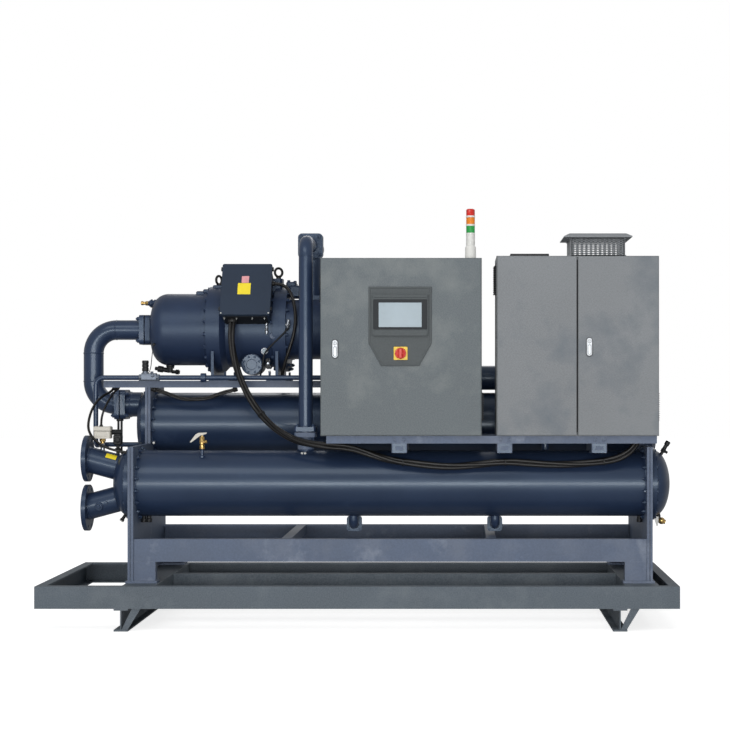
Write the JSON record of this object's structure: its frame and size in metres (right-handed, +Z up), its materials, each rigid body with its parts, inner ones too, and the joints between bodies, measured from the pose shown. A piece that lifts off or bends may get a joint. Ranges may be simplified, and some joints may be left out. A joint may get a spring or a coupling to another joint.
{
  "type": "water-cooled screw chiller",
  "caption": "Skid-mounted water-cooled screw chiller: shell-and-tube condenser and evaporator, compressor above, cabinets with hinged doors.",
  "frame": {"origin": "on the floor, under the middle of the base frame", "axes": "+X along the machine towards the starter cabinet, +Y to the back, +Z up; the doors open towards -Y"},
  "size_m": [3.36, 1.2, 2.233],
  "materials": {
    "vessel_paint": "semi-gloss dark navy paint",
    "compressor_paint": "semi-gloss dark navy paint on cast iron",
    "frame_paint": "satin blue-grey paint with pale worn patches",
    "base_paint": "textured grey paint",
    "control_paint": "textured grey-green powder coat",
    "starter_paint": "textured mid-grey powder coat",
    "terminal_paint": "satin dark blue-grey paint",
    "panel_paint": "smooth dark grey",
    "zinc_plate": "galvanized sheet",
    "valve_brass": "machined brass",
    "valve_metal": "dark painted valve body",
    "grey_plastic": "pale grey moulded case",
    "lamp_plastic": "white and coloured lamp sections",
    "knob_red": "red moulded knob",
    "fan_black": "black moulded cover",
    "gland_black": "black moulded gland",
    "cable_black": "black cable sheath"
  },
  "bodies": {
    "chiller": {"base_long_channels": "base_paint", "base_end_channels": "base_paint", "base_cross_members": "base_paint", "base_centre_channel": "base_paint", "base_runners": "base_paint", "left_end_plate": "frame_paint", "right_end_plate": "frame_paint", "lower_beams": "frame_paint", "beam_feet": "frame_paint", "beam_cross_bars": "frame_paint", "condenser_shell": "vessel_paint", "condenser_left_head": "vessel_paint", "condenser_right_head": "vessel_paint", "condenser_water_outlet": "vessel_paint", "condenser_water_inlet": "vessel_paint", "condenser_gas_inlet": "vessel_paint", "evaporator_shell": "vessel_paint", "evaporator_tube_plates": "vessel_paint", "evaporator_suction_head": "vessel_paint", "evaporator_end_head": "vessel_paint", "chilled_water_inlet": "vessel_paint", "chilled_water_outlet": "vessel_paint", "compressor_rails": "vessel_paint", "rail_saddle": "vessel_paint", "compressor_feet": "compressor_paint", "compressor_suction_cover": "compressor_paint", "compressor_motor_casing": "compressor_paint", "compressor_screw_casing": "compressor_paint", "compressor_oil_separator": "compressor_paint", "terminal_box": "terminal_paint", "compressor_eye_bolts": "compressor_paint", "suction_pipe": "vessel_paint", "discharge_pipe": "vessel_paint", "discharge_valve": "compressor_paint", "liquid_outlets": "vessel_paint", "liquid_line": "vessel_paint", "filter_drier": "vessel_paint", "feed_line": "vessel_paint", "expansion_valve": "valve_metal", "cabinet_rails": "frame_paint", "cabinet_brackets": "frame_paint", "control_cabinet_body": "control_paint", "starter_cabinet_body": "starter_paint", "cabinet_mounting_plates": "zinc_plate", "vent_hood": "starter_paint", "roof_fan_cover": "fan_black", "signal_tower": "lamp_plastic", "flow_switch": "grey_plastic", "service_valves": "valve_brass", "cable_glands": "gland_black", "motor_cable": "cable_black", "flow_switch_cable": "cable_black", "sensor_cable": "cable_black", "rail_cable": "cable_black", "oil_hose": "cable_black"},
    "control_leaf": {"control_door": "control_paint", "operator_panel": "panel_paint"},
    "switch_knob": {"main_switch": "knob_red"},
    "left_leaf": {"starter_left_door": "starter_paint"},
    "right_leaf": {"starter_right_door": "starter_paint"}
  },
  "joints": [
    {"name": "control_door_hinge", "type": "hinge", "parent": "chiller", "child": "control_leaf", "pos_m": [0.646, -0.5, 1.4835], "axis": [0, 0, 1], "range_deg": [0, 90]},
    {"name": "main_switch_turn", "type": "hinge", "parent": "control_leaf", "child": "switch_knob", "pos_m": [0.223, -0.513, 1.449], "axis": [0, -1, 0], "range_deg": [0, 90]},
    {"name": "starter_left_hinge", "type": "hinge", "parent": "chiller", "child": "left_leaf", "pos_m": [0.732, -0.5, 1.489], "axis": [0, 0, -1], "range_deg": [0, 90]},
    {"name": "starter_right_hinge", "type": "hinge", "parent": "chiller", "child": "right_leaf", "pos_m": [1.581, -0.5, 1.489], "axis": [0, 0, 1], "range_deg": [0, 110]}
  ]
}
